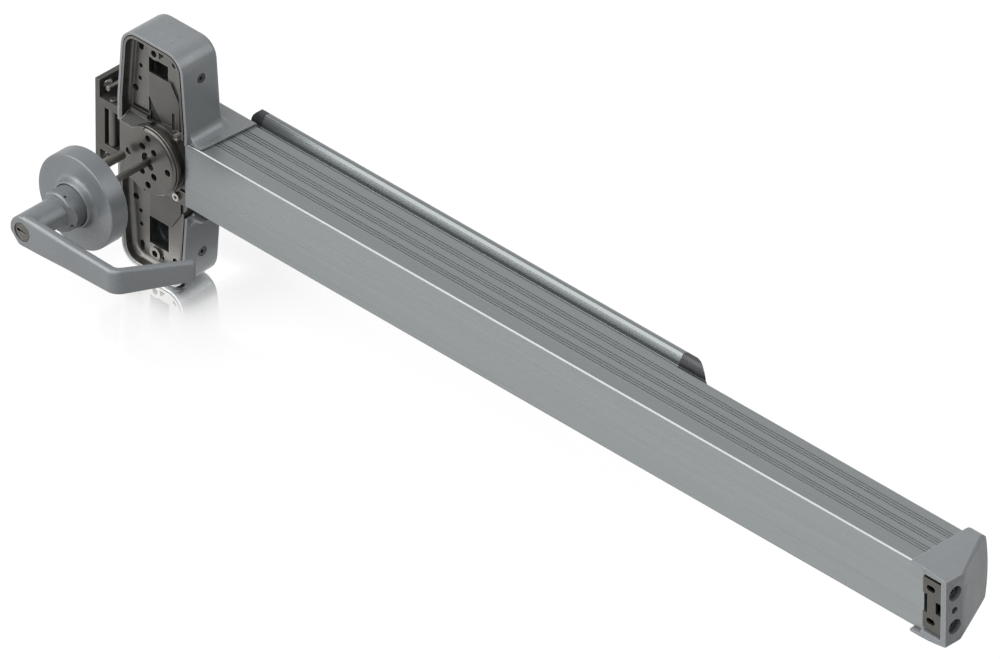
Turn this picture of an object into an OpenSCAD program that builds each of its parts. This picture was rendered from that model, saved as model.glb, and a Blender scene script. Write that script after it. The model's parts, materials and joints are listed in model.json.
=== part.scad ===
// Rim exit device for an outward opening door: push bar, latch head, strike and outside lever trim.
// Origin on the trim axis at the inside face of the door, +X along the bar, +Y into the room, +Z up.

/* [Door] */
// Thickness of the door between the inside device and the outside trim
door_t = 62.4; // [56:0.2:68]

/* [Rail] */
// Length of the rail from the head to the end bracket
rail_len = 757.3; // [650:0.1:900]
// Height of the rail
rail_h = 57; // [56:0.5:60]
// Depth of the rail, door side to room side
rail_d = 53; // [52.5:0.5:56]
// Clear gap between the rail and the door
rail_gap = 3.5; // [3:0.1:4]
// Wall of the rail extrusion
rail_wall = 2.5; // [2:0.1:3]
// Outer corner radius of the rail
rail_corner = 1.6; // [1:0.1:2.4]
// Width of one groove in the top and bottom faces
groove_w = 1; // [0.6:0.1:1.4]
// Depth of one groove
groove_t = 0.9; // [0.4:0.1:1.2]
// Distance between the grooves of one group
groove_pitch = 2.45; // [2:0.05:3]
// Distance between groups of grooves
group_pitch = 12; // [10:0.1:12.5]
// First groove, measured from the back of the rail
groove_first = 14.4; // [12:0.1:15]

/* [Push pad] */
// Length of the metal push pad
pad_len = 431; // [400:1:480]
// Travel of the pad when it is pushed
pad_travel = 12; // [9:0.5:12]
// Height of the pad head
pad_h = 55.4; // [54:0.2:56]
// Height of the pad neck that slides inside the rail
neck_h = 38; // [36.5:0.5:39]
// How far the pad stands proud of the rail front
pad_proud = 22; // [21.5:0.5:25]
// Wall of the pad extrusion
pad_wall = 2; // [1.5:0.1:2.5]
// Length of the rounded end cap beside the head
left_cap_len = 11; // [8:0.5:13]
// Length of the wedge shaped end cap
right_cap_len = 41; // [34:1:46]

/* [Head] */
// Height of the head cover
head_h = 207; // [196:1:220]
// Width of the head cover at mid height
head_w = 72; // [71:0.5:76]
// Width of the head cover at its ends
head_end_w = 62.4; // [58:0.2:66]
// Depth of the head cover above and below the rail
head_d = 38; // [36:0.5:42]
// Half height of the straight part of the cover's sides
head_straight = 40; // [38:1:50]
// Corner radius of the cover's outline
head_corner = 16; // [12:0.5:20]
// Radius between the front and the sides of the cover
head_edge = 4.5; // [3:0.1:5]
// Wall of the head cover
cover_wall = 2; // [1.6:0.1:2.5]
// Length of the saddle over the rail at the door side
saddle_len = 12; // [9:0.5:16]
// Extra length of the saddle at the room side
saddle_lean = 4; // [3:0.5:6]
// Wall of the saddle over the rail
saddle_wall = 1.4; // [1:0.1:2]
// Height of the side screws above the centre
side_screw_top = 79; // [70:0.5:84]
// Depth of the side screws below the centre
side_screw_low = 74.5; // [70:0.5:84]

/* [Chassis] */
// Gap between the cover and the chassis tray
tray_gap = 1; // [0.6:0.1:1.5]
// Wall of the chassis tray's rim
tray_rim = 1.8; // [1.5:0.1:2.5]
// Thickness of the tray's floor
tray_t = 2.5; // [2:0.1:3]
// Height of the tray's floor above the door
tray_floor = 8.4; // [8:0.1:10]
// Radius of the chassis fixing holes
fix_r = 2.9; // [2.4:0.1:3.4]
// Height of the chassis fixing holes above the centre
fix_z = 89; // [84:0.5:92]

/* [Trim plate] */
// Radius of the round trim plate
plate_r = 28.8; // [27.6:0.1:29]
// How far the round plate stands out towards the door
plate_proud = 4; // [3:0.1:5]
// Radius from the centre to the mounting posts and outer holes
post_at = 20.5; // [19:0.1:21.5]
// Radius from the centre to the inner holes
inner_at = 12.3; // [12:0.1:12.8]
// Radius of the holes in the plate
plate_hole_r = 3; // [2.7:0.1:3.1]

/* [Latch] */
// Rotation of the latch from thrown to drawn back
latch_swing = 55; // [40:1:58]
// Reach of the latch nose past the side of the head
latch_throw = 19.5; // [16:0.5:20]
// Height of the latch
latch_h = 28; // [22:0.5:28]
// Distance from the latch pivot to its draw pin
latch_ear = 12; // [10:0.2:12.4]
// Radius of the latch pivot pin
latch_pin_r = 2.5; // [2:0.1:3]

/* [Bell cranks] */
// Rotation of the bell cranks over the pad's travel
crank_swing = 36; // [32:1:40]
// Place of the left crank along the bar
crank_left_x = 150; // [130:1:190]
// Distance from the right crank to the end of the pad's metal part
crank_right_inset = 82.3; // [76:0.1:110]
// Radius of the crank pivot pins
crank_pin_r = 3; // [2.5:0.1:3.5]
// Radius of the small drive pins
drive_pin_r = 2; // [1.6:0.1:2.2]

/* [End cap] */
// Length of the end cap beyond the rail
end_cap_len = 25; // [22:0.5:30]
// Overlap of the end cap on the rail
end_cap_lap = 10.5; // [8:0.5:14]
// Depth of the end cap, door side to room side
end_cap_d = 62; // [61:0.5:66]
// Depth of the flat end face
end_face_d = 17.5; // [17:0.5:20]

/* [Strike] */
// Half height of the strike
strike_half_h = 38; // [36:0.5:42]
// Place of the strike's outer face
strike_x = 66; // [64.5:0.5:69]
// Thickness of the strike's side wall
strike_wall = 4.6; // [3.5:0.1:4.8]
// Radius of the strike roller
roller_r = 4; // [3.2:0.1:4.2]

/* [Outside trim] */
// Radius of the rose
rose_r = 38.9; // [37:0.1:39.5]
// Depth of the rose
rose_d = 16.1; // [15:0.1:20]
// Radius of the lever's shank
shank_r = 16.5; // [15:0.1:17]
// Radius of the lever's front boss
boss_r = 12.7; // [12.2:0.1:14]
// Distance from the rose face to the front of the lever
lever_stand = 54.5; // [50:0.5:60]
// Length of the lever from its axis to the bend
lever_len = 93.5; // [80:0.5:110]
// How far the bent end carries on along the bar
return_x = 30; // [24:0.5:36]
// How far the bent end comes back towards the door
return_y = 52; // [40:0.5:54]
// Thickness of the lever arm
arm_t = 7.8; // [7:0.1:9]
// Height of the lever arm at the boss
arm_h = 26.8; // [24:0.2:28]
// Height of the lever at its tip
tip_h = 17.5; // [16:0.5:20]
// Radius of the key plug
plug_r = 6.6; // [5.8:0.1:6.8]

/* [Hidden] */
$fn = 48;
round_steps = 6;
touch_gap = 0.3;
slip = 0.05;
cut = 1;

// Rail and what runs inside it
skin_x = head_w / 2 + touch_gap;
rail_x = head_w / 2 - 4.5;
rail_end = rail_x + rail_len;
rail_front = rail_gap + rail_d;
rail_floor = rail_gap + rail_wall;
rail_in_h = rail_h / 2 - rail_wall;
lip_t = 2.6;
lip_open = neck_h / 2 + 4.6;
base_t = 2;
base_top = rail_floor + base_t;

// Push pad
pad_x = skin_x + 10;
pad_end = pad_x + pad_len;
pad_front = rail_front + pad_proud;
pad_back = rail_front - 16;

// Head cover and saddle
head_half = head_w / 2;
saddle_gap = 0.8;
saddle_z = rail_h / 2 + saddle_gap + saddle_wall;
saddle_low = saddle_z + 5.7;
saddle_y = rail_gap + 0.5;
saddle_fillet_r = 9;
saddle_front = rail_front + 0.2 + saddle_wall;
latch_window = latch_h / 2 + 5;
pad_window = pad_h / 2 + 0.8;
taper = (head_w - head_end_w) / 2 / (head_h / 2 - head_straight);

// Chassis
tray_inset = cover_wall + tray_gap;
tray_top = tray_floor + tray_t;
block_x = head_half - 6.6;
block_h = 28.3;
block_front_h = 22.9;
ridge_y = tray_floor - 3;
ridge_h = 31;
plate_back_t = 1.5;
bracket_screw = [19.5, 26.2];
plate_slot = [15.8, 37.6];
plug_x = 21.5;
plug_y = 6.4;
lug_w = 10;
lug_y = 19;
screw_seat = 1.2;
bolt_r = 2.4;

// Latch and its drive
latch_pivot = [-14, tray_top + 6.1];
latch_hub_r = 5.5;
latch_tip = head_half + latch_throw;
rod_travel = 2 * latch_ear * sin(latch_swing / 2);
case_z = latch_h / 2 + 6;
case_t = 2.5;
fork_z = latch_h / 2 + 1;
fork_t = 2.5;
ear_rest = latch_pivot + latch_ear * [-sin(latch_swing / 2), cos(latch_swing / 2)];

// Bell cranks
rod_y = 14;
rod_half = 3;
crank_t = 8;
crank_hub_r = 6;
rod_arm = rod_travel / 2 / tan(crank_swing / 2);
pad_arm = pad_travel / 2 / tan(crank_swing / 2);
crank_y = rod_y + rod_arm;
slot_play = 0.3;
crank_window = [30, 10];
crank_right_x = pad_end - crank_right_inset;
crank_xs = [crank_left_x, crank_right_x];
rod_start = skin_x + 24;
rod_end = crank_right_x + 17;
spring_len = 38;
spring_seat = rod_end + spring_len;

// Outside trim
rose_back = -door_t;
rose_face = rose_back - rose_d;
lever_front = rose_face - lever_stand;
post_r = 3.8;
post_end = -10;
short_post_end = -50;
blade_w = 5.2;
blade_t = 2.4;
cam_r = inner_at - plate_hole_r - 0.9;
cylinder_r = plug_r + 1.5;
step_y = lever_front + 35.6;
set_screw_at = [13.8, step_y + 2.2, -5.9];

// Strike
strike_back = 6.5;
strike_front = 33;
strike_in = -head_half - 1.2;
strike_mid = 22.8;
strike_screw = [-56.6, 31];
roller_x = -51;
roller_y = strike_back + 4.5;
pocket_h = latch_h / 2 + 2.2;

// Colours
cast_grey = "#90969A";
bar_grey = "#939899";
steel = "#6C6B67";
dark_steel = "#565450";
bright_steel = "#9A9892";
black_plastic = "#2A2C2E";
brass = "#8E8A80";

// Unit vector along v
function unit(v) = v / norm(v);

// Points of a rounded corner at b between a and c
function corner_points(a, b, c, r, n) =
    let (u = unit(a - b), v = unit(c - b), half = acos(u * v) / 2)
    let (m = unit(u + v), o = b + m * r / sin(half), s = b + u * r / tan(half) - o)
    let (e = b + v * r / tan(half) - o, a0 = atan2(s[1], s[0]), raw = atan2(e[1], e[0]) - a0)
    let (sweep = raw > 180 ? raw - 360 : raw < -180 ? raw + 360 : raw)
    [for (i = [0:n]) o + r * [cos(a0 + sweep * i / n), sin(a0 + sweep * i / n)]];

// Outline through the given points with a radius at each of them
function rounded(points, radii, n = round_steps) =
    let (count = len(points))
    [for (i = [0:count - 1])
        let (a = points[(i + count - 1) % count], b = points[i], c = points[(i + 1) % count])
        each (radii[i] <= 0 ? [b] : corner_points(a, b, c, radii[i], n))];

// Rectangle outline between two corners with one radius
function round_rect(x0, y0, x1, y1, r, n = round_steps) =
    rounded([[x0, y0], [x1, y0], [x1, y1], [x0, y1]], [r, r, r, r], n);

// Outline of the head, moved inwards by inset
function head_outline(inset) =
    let (w = head_half - inset, e = head_end_w / 2 - inset, h = head_h / 2 - inset)
    let (s = head_straight, r = max(head_corner - inset, 1))
    rounded([[w, -s], [w, s], [e, h], [-e, h], [-w, s], [-w, -s], [-e, -h], [e, -h]],
        [0, 0, r, r, 0, 0, r, r]);

// Solid through rings with as many points each, counterclockwise about the way they lead
module loft(rings) {
    n = len(rings[0]);
    last = len(rings) - 1;
    points = [for (ring = rings) each ring];
    sides = [for (k = [0:last - 1], i = [0:n - 1])
        let (a = k * n + i, b = k * n + (i + 1) % n)
        each [[a, b + n, b], [a, a + n, b + n]]];
    first_cap = [for (i = [0:n - 1]) i];
    last_cap = [for (i = [n - 1:-1:0]) last * n + i];
    polyhedron(points, concat([first_cap], sides, [last_cap]));
}

// Profile in Y and Z carried along X
module along_x(x0, x1) {
    translate([x0, 0, 0]) rotate([90, 0, 90]) linear_extrude(x1 - x0) children();
}

// Profile in X and Z carried along Y
module along_y(y0, y1) {
    translate([0, y1, 0]) rotate([90, 0, 0]) linear_extrude(y1 - y0) children();
}

// Profile in X and Y carried along Z
module along_z(z0, z1) {
    translate([0, 0, z0]) linear_extrude(z1 - z0) children();
}

// Box between two corners
module block(a, b) {
    translate(a) cube(b - a);
}

// Round bar along X, Y or Z
module bar_x(r, x0, x1, y, z) {
    translate([x0, y, z]) rotate([0, 90, 0]) cylinder(r = r, h = x1 - x0);
}
module bar_y(r, y0, y1, x, z) {
    translate([x, y0, z]) rotate([-90, 0, 0]) cylinder(r = r, h = y1 - y0);
}
module bar_z(r, z0, z1, x, y) {
    translate([x, y, z0]) cylinder(r = r, h = z1 - z0);
}

// Profile of radius and Y turned about the trim axis
module turned_y() {
    rotate([-90, 0, 0]) rotate_extrude($fn = 96) children();
}

// Same shape above and below the centre line
module both_z() {
    children();
    mirror([0, 0, 1]) children();
}

// Obround profile, length along the first axis
module obround(length, width) {
    for (side = [-1, 1]) translate([side * (length - width) / 2, 0]) circle(d = width);
    square([length - width, width], center = true);
}

// Ring of a coil's wire at angle a, for a coil about the third axis
function wire_ring(r, wire, rise, a, sides = 6) =
    [for (i = [0:sides - 1])
        let (t = 360 * i / sides, out = r + wire / 2 * cos(t))
        [out * cos(a), out * sin(a), rise - wire / 2 * sin(t)]];

// Coil spring standing on the origin, one unbroken tube
module coil(r, wire, turns, height, steps = 10) {
    count = turns * steps;
    echo(str("coil gap ", (height - wire) / turns - wire));
    loft([for (k = [0:count])
        wire_ring(r, wire, wire / 2 + (height - wire) * k / count, 360 * k / steps)]);
}

// Socket screw along Y, head at y1, pointing towards the door
module screw_y(r, head_r, head_t, y0, y1, x, z) {
    difference() {
        union() {
            bar_y(r, y0, y1 - head_t, x, z);
            bar_y(head_r, y1 - head_t, y1, x, z);
        }
        translate([x, y1 - head_t * 0.6, z]) rotate([-90, 30, 0]) cylinder(r = r * 0.75, h = head_t, $fn = 6);
    }
}

// Head cover

// Outer skin of the cover's tall part, or its hollow when inset by the wall
module head_shell(inset) {
    low = inset > 0 ? -cut : touch_gap;
    front = head_d - inset;
    edge = head_edge - inset;
    arc = [for (i = [0:4]) [edge * (1 - cos(90 * i / 4)), front - edge + edge * sin(90 * i / 4)]];
    levels = concat([[0, low]], arc);
    loft([for (k = [len(levels) - 1:-1:0])
        [for (p = head_outline(inset + levels[k][0])) [p[0], levels[k][1], p[1]]]]);
}

// Profile of the saddle in Y and Z
module saddle_profile(low, high, front, r) {
    polygon(rounded([[saddle_y, -low], [front, -low], [front, high], [saddle_y, high]], [0, r, r, 0]));
}

// Plan of the saddle, with its slanted end
module saddle_plan() {
    end = head_half + saddle_len;
    polygon(rounded([[-head_half, saddle_y], [end, saddle_y], [end + saddle_lean, saddle_front],
        [-head_half, saddle_front]], [0, 4, 1.5, head_edge]));
}

// Concave corner of the saddle's fillet, on the first axis from x
module fillet_corner(x) {
    r = saddle_fillet_r;
    difference() {
        translate([x - cut, -cut]) square([r + cut, r + cut]);
        translate([x + r, r]) circle(r = r);
    }
}

// Fillet above the saddle: along the side, round the corner and along the front
module saddle_fillet(z) {
    x = head_half - head_edge;
    y = head_d - head_edge;
    along_y(saddle_y, y) translate([0, z]) fillet_corner(head_half);
    translate([x, y, z]) rotate_extrude(angle = 90) fillet_corner(head_edge);
    along_x(-x, x) translate([0, z]) fillet_corner(head_d);
}

module saddle_outer() {
    intersection() {
        along_x(-head_half, head_half + saddle_len + saddle_lean)
            saddle_profile(saddle_low, saddle_z, saddle_front, rail_corner + saddle_wall);
        along_z(-saddle_low, saddle_z) saddle_plan();
    }
    intersection() {
        union() {
            saddle_fillet(saddle_z);
            mirror([0, 0, 1]) saddle_fillet(saddle_low);
        }
        along_z(-head_half * 2, head_half * 2) saddle_plan();
    }
}

module head_cover() {
    inner_low = saddle_low - saddle_wall;
    inner_high = rail_h / 2 + saddle_gap;
    color(cast_grey)
    difference() {
        union() {
            head_shell(0);
            saddle_outer();
        }
        head_shell(cover_wall);
        // Hollow of the saddle, over the rail and inside the head
        along_x(skin_x - touch_gap - cut, head_half + saddle_len + saddle_lean + cut)
            saddle_hollow(inner_low, inner_high, rail_front + 0.2);
        block([-head_half + cover_wall, 0, -inner_low], [skin_x, saddle_front - cover_wall, saddle_z - cover_wall]);
        // Open side towards the rail
        along_x(head_half - cover_wall - cut, head_half + cut)
            polygon([[-cut, -inner_low - 1.2], [rail_gap + 3.5, -inner_low - 1.2], [rail_gap + 5, -inner_low],
                [rail_gap + 5, inner_high], [-cut, inner_high]]);
        // Opening for the latch
        block([-head_half - cut, -cut, -latch_window],
            [-head_half + cover_wall + cut, saddle_front - 3.6, latch_window]);
        // Opening for the end of the push pad
        block([pad_x - left_cap_len - 1.2, head_d, -pad_window], [rail_x + 60, saddle_front + cut, pad_window]);
        // Counterbored holes of the side screws
        for (side = [-1, 1], z = [side_screw_top, -side_screw_low])
            side_screw_place(side, z) {
                translate([0, 0, -screw_seat]) cylinder(r = 4.4, h = screw_seat + cut);
                translate([0, 0, -cover_wall - cut]) cylinder(r = 2.2, h = cover_wall + cut);
            }
        bar_z(2.6, -head_h / 2 - cut, -head_h / 2 + cover_wall + cut, plug_x, plug_y);
    }
}

// Hollow of the saddle in Y and Z, open towards the door
module saddle_hollow(low, high, front) {
    polygon(rounded([[saddle_y - cut, -low], [front, -low], [front, high], [saddle_y - cut, high]],
        [0, rail_corner, rail_corner, 0]));
}

// Place of one side screw, with the third axis pointing out of the cover
module side_screw_place(side, z) {
    x = head_half - (abs(z) - head_straight) * taper;
    translate([side * x, lug_y, z]) rotate([0, side * 90, 0]) children();
}

module cover_screws() {
    color(steel)
    for (side = [-1, 1], z = [side_screw_top, -side_screw_low])
        side_screw_place(side, z) difference() {
            union() {
                translate([0, 0, -screw_seat - 8]) cylinder(r = 2.05, h = 8.5);
                translate([0, 0, -screw_seat]) cylinder(r1 = 3.7, r2 = 3.3, h = 0.8);
            }
            translate([0, 0, -screw_seat - 1.2]) cylinder(r = 1.7, h = 3, $fn = 6);
        }
}

module bottom_plug() {
    bottom = -head_h / 2;
    color(black_plastic)
    rotate_extrude_at(plug_x, plug_y)
        polygon([[0, bottom - 1.8], [3, bottom - 1.8], [4.4, bottom - 1], [4.4, bottom], [2.5, bottom],
            [2.5, bottom + cover_wall + 0.6], [0, bottom + cover_wall + 0.6]]);
}

// Turned profile about a vertical axis
module rotate_extrude_at(x, y) {
    translate([x, y, 0]) rotate_extrude() children();
}

// Chassis

module tray_outline(inset) {
    polygon(head_outline(tray_inset + inset));
}

// Hollow of the tray, with a rounded corner between the rim and the floor
module tray_hollow() {
    r = 4;
    arc = [for (i = [0:4]) [r * (1 - cos(90 * i / 4)), tray_floor - r + r * sin(90 * i / 4)]];
    levels = concat([[0, -cut]], arc);
    loft([for (k = [len(levels) - 1:-1:0])
        [for (p = head_outline(tray_inset + tray_rim + levels[k][0])) [p[0], levels[k][1], p[1]]]]);
}

module chassis_tray() {
    window = [-11.3, 8.9, 34.4, 82.7];
    color(dark_steel)
    difference() {
        union() {
            difference() {
                along_y(0, tray_top) tray_outline(0);
                tray_hollow();
            }
            // Bosses round the fixing holes
            both_z() bar_y(fix_r + 2.4, tray_floor - 2, tray_top, -4, fix_z);
            // Lugs that take the cover's side screws
            for (side = [-1, 1], z = [side_screw_top, -side_screw_low]) tray_lug(side, z);
        }
        // Side openings for the latch block and the rail
        block([-head_half, -cut, -19.8], [-block_x - 0.6, tray_floor, 19.8]);
        block([-block_x - 0.8, -cut, -ridge_h - touch_gap], [-20, tray_floor, ridge_h + touch_gap]);
        block([head_half - 12, -cut, -33], [head_half, tray_floor, 33]);
        block([rail_x - touch_gap, -cut, -rail_h / 2 - touch_gap], [head_half, tray_top + cut, rail_h / 2 + touch_gap]);
        // Holes of the trim plate
        bar_y(cam_r - 2, 0, tray_top + cut, 0, 0);
        for (a = [90, 270])
            bar_y(plate_hole_r, 0, tray_top + cut, post_at * cos(a), post_at * sin(a));
        for (side = [-1, 1]) bar_y(bolt_r + slip, 0, tray_top + cut, side * post_at, 0);
        inner_holes(tray_top);
        both_z() {
            bar_y(fix_r, 0, tray_top + cut, -4, fix_z);
            for (x = [-18.9, 15.3]) along_y(0, tray_top + cut) translate([x, fix_z]) rotate(90) obround(9, 5);
            along_y(0, tray_top + cut) polygon([[1.2, 92], [5.2, 92], [3.2, 87.6]]);
            bar_y(2, 0, tray_top + cut, -19.6, 70.5);
            bar_y(2, 0, tray_top + cut, -20.4, 59);
            bar_y(3, 0, tray_top + cut, -25.1, 48.5);
            bar_y(2, 0, tray_top + cut, bracket_screw[0], bracket_screw[1]);
            block([window[0], 0, window[2]], [window[1], tray_top + cut, window[3]]);
            block([-28, 0, ridge_h + touch_gap], [window[0] + cut, tray_top + cut, window[2]]);
        }
    }
}

// The four inner holes of the trim plate, down to y1
module inner_holes(y1) {
    for (x = [-1, 1], z = [-1, 1])
        bar_y(plate_hole_r, -plate_proud - cut, y1 + cut, x * inner_at * cos(60), z * inner_at * sin(60));
}

// Lug on the tray with a tapped hole for one side screw
module tray_lug(side, z) {
    x = head_half - (abs(z) - head_straight) * taper - cover_wall - 2.2;
    difference() {
        block([side > 0 ? x - 6 : -x, tray_top - cut, z - lug_w / 2],
            [side > 0 ? x : -x + 6, lug_y + lug_w / 2, z + lug_w / 2]);
        bar_x(2.1, -head_half, head_half, lug_y, z);
    }
}

module trim_plate() {
    color(steel)
    difference() {
        union() {
            turned_y() polygon(concat([[0, -plate_proud]],
                corner_points([0, -plate_proud], [plate_r, -plate_proud], [plate_r, 2], 1.2, 4),
                [[plate_r, -1.9], [plate_r - 0.6, -1.9], [plate_r - 0.6, -1.3], [plate_r, -1.3],
                    [plate_r, tray_floor], [0, tray_floor]]));
            along_x(-block_x, -5.4)
                polygon([[-plate_proud, -block_front_h], [ridge_y, -block_h], [tray_floor, -block_h],
                    [tray_floor, block_h], [ridge_y, block_h], [-plate_proud, block_front_h]]);
            block([-28, ridge_y, -ridge_h], [-10.5, tray_floor, ridge_h]);
        }
        // Pocket of the cam and the opening for the spindle
        bar_y(cam_r + slip, -plate_proud + 2.5, tray_floor + cut, 0, 0);
        bar_y(5.3, -plate_proud - cut, tray_floor, -1.4, 2.1);
        bar_y(3, -plate_proud - cut, tray_floor, 2.7, -3.3);
        for (a = [0, 90, 180, 270])
            bar_y(plate_hole_r, -plate_proud - cut, tray_floor + cut, post_at * cos(a), post_at * sin(a));
        inner_holes(tray_floor);
        // Shallow marks in the face
        along_y(-plate_proud - cut, -plate_proud + 0.8)
            translate([-inner_at * cos(60), inner_at * sin(60)]) obround(8, 7);
        block([-26.5, -plate_proud - cut, -12.4], [-23.6, -plate_proud + 0.6, -11.6]);
    }
}

module trim_cam() {
    color(bright_steel)
    difference() {
        union() {
            bar_y(cam_r - slip, -plate_proud + 2.8, tray_floor - 0.1, 0, 0);
            bar_y(cam_r - 2.4, tray_floor - 0.2, tray_top + 1, 0, 0);
        }
        block([-blade_t / 2 - 0.2, -plate_proud, -blade_w / 2 - 0.2],
            [blade_t / 2 + 0.2, tray_top + 2, blade_w / 2 + 0.2]);
        for (x = [-1, 1]) bar_y(1.2, -plate_proud, tray_floor - 2, x * 5.2, 3);
    }
}

// Vertical slot through the upper backing plate and the bracket's tab
module backing_slot() {
    along_y(0, tray_floor + cut) translate(plate_slot) rotate(90) obround(16, 3.3);
}

module upper_backing_plate() {
    low = ridge_h + 1.1;
    color(steel)
    difference() {
        along_y(tray_floor - plate_back_t, tray_floor)
            polygon([[-10, 70.5], [-10, 45.3], [1.7, low], [22, low], [21.8, 56], [12.7, 70.5]]);
        backing_slot();
    }
}

module lower_backing_plate() {
    low = ridge_h + 1.1;
    color(steel) along_y(tray_floor - plate_back_t, tray_floor)
        polygon([[-10, -low], [-10, -57.7], [12.5, -57.7], [14.5, -54.6], [23, -41.5], [23, -low]]);
}

// Latch

module latch_case() {
    x0 = -head_half + cover_wall + 2.6;
    color(steel)
    both_z() difference() {
        union() {
            along_z(case_z, case_z + case_t)
                polygon(rounded([[x0, tray_top], [6, tray_top], [6, 20], [-6, 28], [x0, 28]],
                    [0, 0, 3, 3, 3], 4));
            block([x0, tray_top, case_z], [-17, tray_top + 2, case_z + 11]);
        }
        bar_z(latch_pin_r + slip, case_z - cut, case_z + case_t + cut, latch_pivot[0], latch_pivot[1]);
        bar_y(1.6, tray_top - cut, tray_top + 3, -23, case_z + 7);
    }
}

module latch_pin() {
    color(bright_steel)
    bar_z(latch_pin_r, -case_z - case_t - 0.6, case_z + case_t + 0.6, latch_pivot[0], latch_pivot[1]);
}

// Plan of the latch in the thrown position
module latch_plan() {
    near = roller_y + roller_r + 0.4;
    polygon(rounded([[latch_pivot[0] + 2, latch_pivot[1] - 5], [-head_half + 2, near], [-latch_tip + 5, near],
        [-latch_tip, near + 5], [-latch_tip + 2.5, near + 11], [-head_half - 2, ear_rest[1] + 3.4],
        [ear_rest[0] + 3, ear_rest[1] + 3.4], [latch_pivot[0] + 5, latch_pivot[1] + 1]],
        [0, 4, 2, 2, 3, 4, 3, 0], 4));
}

module latch_bolt() {
    color(bright_steel)
    difference() {
        union() {
            along_z(-latch_h / 2, latch_h / 2) latch_plan();
            bar_z(latch_hub_r, -latch_h / 2, latch_h / 2, latch_pivot[0], latch_pivot[1]);
        }
        bar_z(latch_pin_r + slip, -latch_h, latch_h, latch_pivot[0], latch_pivot[1]);
        bar_z(drive_pin_r + slip, -latch_h, latch_h, ear_rest[0], ear_rest[1]);
    }
}

module latch_draw_pin() {
    color(bright_steel)
    bar_z(drive_pin_r, -fork_z - fork_t - 0.8, fork_z + fork_t + 0.8, ear_rest[0], ear_rest[1]);
}

module latch_spring() {
    color(bright_steel)
    translate([latch_pivot[0], latch_pivot[1], -case_z + 0.3])
        coil(latch_pin_r + 1.1, 0.9, 3, case_z - latch_h / 2 - 0.6, 12);
}

// Forked link that draws the latch back
module latch_retractor() {
    slot_y = ear_rest[1] + (latch_ear - latch_ear * cos(latch_swing / 2)) / 2;
    low = ear_rest[1] - drive_pin_r - 2.6;
    high = latch_pivot[1] + latch_ear + drive_pin_r + 2.4;
    color(steel)
    difference() {
        union() {
            both_z() along_z(fork_z, fork_z + fork_t)
                polygon(rounded([[ear_rest[0] - 5, low], [5, low], [rod_start - 22, rod_y - rod_half],
                    [rod_start, rod_y - rod_half], [rod_start, rod_y + rod_half], [rod_start - 20, rod_y + rod_half],
                    [6, high], [ear_rest[0] - 5, high]], [2, 4, 4, 0, 0, 4, 4, 2], 4));
            block([rod_start - 8, rod_y - rod_half, -fork_z - fork_t], [rod_start, rod_y + rod_half, fork_z + fork_t]);
        }
        for (side = [-1, 1])
            translate([0, 0, side * (fork_z + fork_t / 2) - fork_t])
                linear_extrude(2 * fork_t) translate([ear_rest[0], slot_y]) rotate(90)
                    obround(2 * drive_pin_r + 3, 2 * (drive_pin_r + slot_play));
    }
}

// Rail

module rail_bracket() {
    tab_h = ridge_h + 0.8;
    wide = rail_in_h - 1.2;
    edge = rail_x - 0.6;
    color(steel)
    difference() {
        union() {
            along_y(rail_floor, tray_floor)
                translate([plate_r + 0.6, -wide]) square([skin_x + 36 - plate_r, 2 * wide]);
            // Tabs on the tray, above and below the trim plate
            along_y(tray_floor - plate_back_t, tray_floor) {
                polygon([[2, tab_h], [13, 19.5], [edge + 1, 19.5], [edge + 1, wide], [edge, wide], [26.5, tab_h]]);
                polygon([[-10, -tab_h], [26.5, -tab_h], [edge, -wide], [edge + 1, -wide], [edge + 1, -19.5], [13, -19.5],
                    [-10, -24]]);
            }
        }
        bar_y(plate_r + touch_gap, 0, tray_top, 0, 0);
        both_z() bar_y(2.05, 0, tray_top, bracket_screw[0], bracket_screw[1]);
        backing_slot();
        for (x = [skin_x + 14, skin_x + 28]) both_z() bar_y(1.6, 0, tray_top, x, 16);
    }
}

module bracket_screws() {
    seat = tray_floor - plate_back_t;
    color(bright_steel)
    both_z() difference() {
        union() {
            bar_y(1.95, seat - 0.4, tray_top + 2, bracket_screw[0], bracket_screw[1]);
            bar_y(3.2, seat - 2.2, seat, bracket_screw[0], bracket_screw[1]);
        }
        translate([bracket_screw[0], seat - 3, bracket_screw[1]]) rotate([-90, 0, 0])
            cylinder(r = 1.7, h = 2, $fn = 6);
    }
}

// Section of the rail in Y and Z
module rail_section() {
    difference() {
        polygon(round_rect(rail_gap, -rail_h / 2, rail_front, rail_h / 2, rail_corner));
        polygon(round_rect(rail_floor, -rail_in_h, rail_front - lip_t, rail_in_h, 0.8, 3));
        translate([rail_floor + cut, -lip_open]) square([rail_d, 2 * lip_open]);
        // Grooves in the top and bottom faces
        for (group = [0:2], k = [0:2], side = [-1, 1])
            translate([rail_gap + groove_first + group * group_pitch + k * groove_pitch, side * rail_h / 2])
                square([groove_w, 2 * groove_t], center = true);
    }
}

module rail_housing() {
    color(bar_grey) along_x(rail_x, rail_end) rail_section();
}

// Snap in cover that closes the rail beyond the pad
module rail_filler() {
    half = lip_open - 0.2;
    x0 = pad_end + right_cap_len + 1;
    color(bar_grey)
    along_x(x0, rail_end) difference() {
        polygon(rounded([[rail_front - 12, -half], [rail_front - 0.6, -half], [rail_front - 0.6, half],
            [rail_front - 12, half]], [0, 1, 1, 0], 3));
        translate([rail_front - 12 - cut, -half + 1.6]) square([12 + cut - 2.2, 2 * half - 3.2]);
    }
}

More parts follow.
